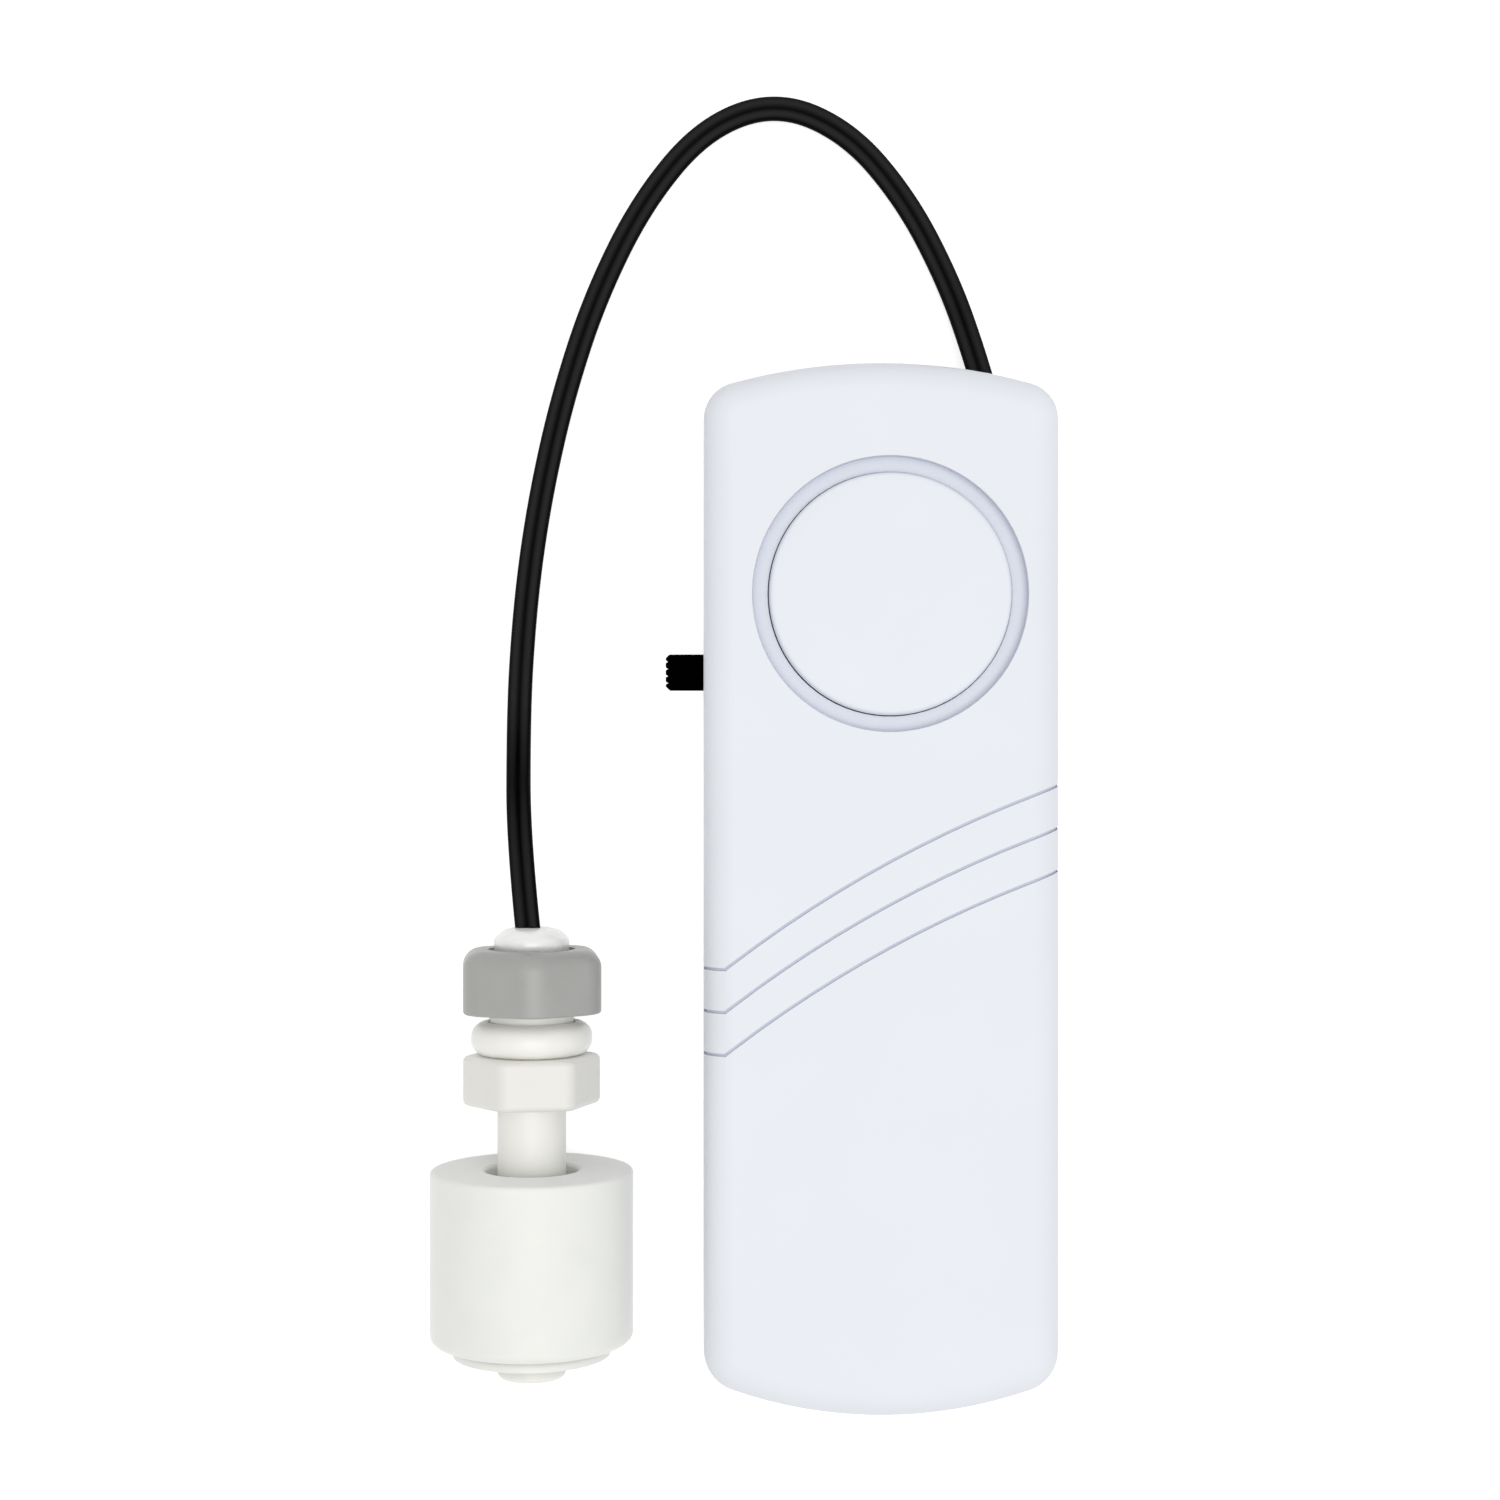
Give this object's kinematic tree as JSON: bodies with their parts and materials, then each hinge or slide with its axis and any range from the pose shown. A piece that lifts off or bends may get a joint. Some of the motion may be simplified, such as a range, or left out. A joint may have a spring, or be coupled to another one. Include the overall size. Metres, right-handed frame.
{
  "type": "float switch water alarm",
  "caption": "Battery water alarm: flat white sounder housing with a slide switch, joined by a short black cord to a small vertical float switch.",
  "frame": {"origin": "centre of the alarm housing's flat back face, which lies on the surface", "axes": "+Z out of the alarm's front, +Y to the end where the cord leaves, +X to the right seen from the front; the float switch's axis lies along Y"},
  "size_m": [0.0595, 0.1274, 0.0193],
  "materials": {
    "housing_white": "moulded, fine satin",
    "door_white": "moulded, fine satin",
    "sounder_white": "moulded, smooth satin",
    "knob_black": "moulded",
    "cord_black": "soft satin insulation",
    "wire_red": "insulation",
    "wire_black": "insulation",
    "piezo_brass": "satin",
    "piezo_silver": "silvered",
    "board_green": "solder mask",
    "chip_black": "epoxy drop",
    "ferrite": "matt",
    "copper": "enamelled wire",
    "capacitor_can": "sleeve",
    "component_black": "moulded",
    "tin": "tinned",
    "nickel": "nickel plated",
    "phenolic": "pressed board",
    "cell_steel": "plain can",
    "screw_steel": "zinc plated",
    "probe_white": "natural polypropylene",
    "float_white": "natural polypropylene",
    "nut_grey": "moulded",
    "gasket_clear": "translucent silicone",
    "potting_white": "cast resin",
    "magnet_dark": "ferrite",
    "reed_glass": "clear"
  },
  "bodies": {
    "alarm": {"front_shell": "housing_white", "rear_shell": "housing_white", "case_screws": "screw_steel", "sounder_disc": "sounder_white", "piezo_plate": "piezo_brass", "piezo_ceramic": "piezo_silver", "piezo_wires": "wire_red", "circuit_board": "board_green", "control_chip": "chip_black", "boost_coil_core": "ferrite", "boost_coil_winding": "copper", "capacitor": "capacitor_can", "driver_transistor": "component_black", "resistors": "component_black", "switch_case": "tin", "switch_base": "phenolic", "switch_pins": "tin", "cell_1": "cell_steel", "cell_2": "cell_steel", "cell_3": "cell_steel", "contact_positive": "nickel", "contact_negative": "nickel", "battery_wires": "wire_red", "cord_tail": "cord_black", "cord": "cord_black", "probe_stem": "probe_white", "probe_gasket": "gasket_clear", "potting_plug": "potting_white", "retaining_clip": "probe_white", "reed_glass": "reed_glass", "reed_blades": "nickel", "reed_wires": "wire_black"},
    "float": {"float_shell": "float_white", "float_cap": "float_white", "float_magnet": "magnet_dark"},
    "knob": {"switch_knob": "knob_black", "switch_wiper": "nickel"},
    "battery_door": {"battery_door": "door_white"},
    "nut": {"probe_nut": "nut_grey"}
  },
  "joints": [
    {"name": "float_slide", "type": "slide", "parent": "alarm", "child": "float", "axis": [0, 1, 0], "range_m": [0, 0.00605]},
    {"name": "knob_slide", "type": "slide", "parent": "alarm", "child": "knob", "axis": [0, 1, 0], "range_m": [0, 0.0025]},
    {"name": "battery_door_slide", "type": "slide", "parent": "alarm", "child": "battery_door", "axis": [0, -1, 0], "range_m": [0, 0.034]},
    {"name": "nut_turn", "type": "hinge", "parent": "alarm", "child": "nut", "pos_m": [-0.0331, -0.008, 0.0097], "axis": [0, 1, 0], "range_deg": [-255, 1230]}
  ]
}
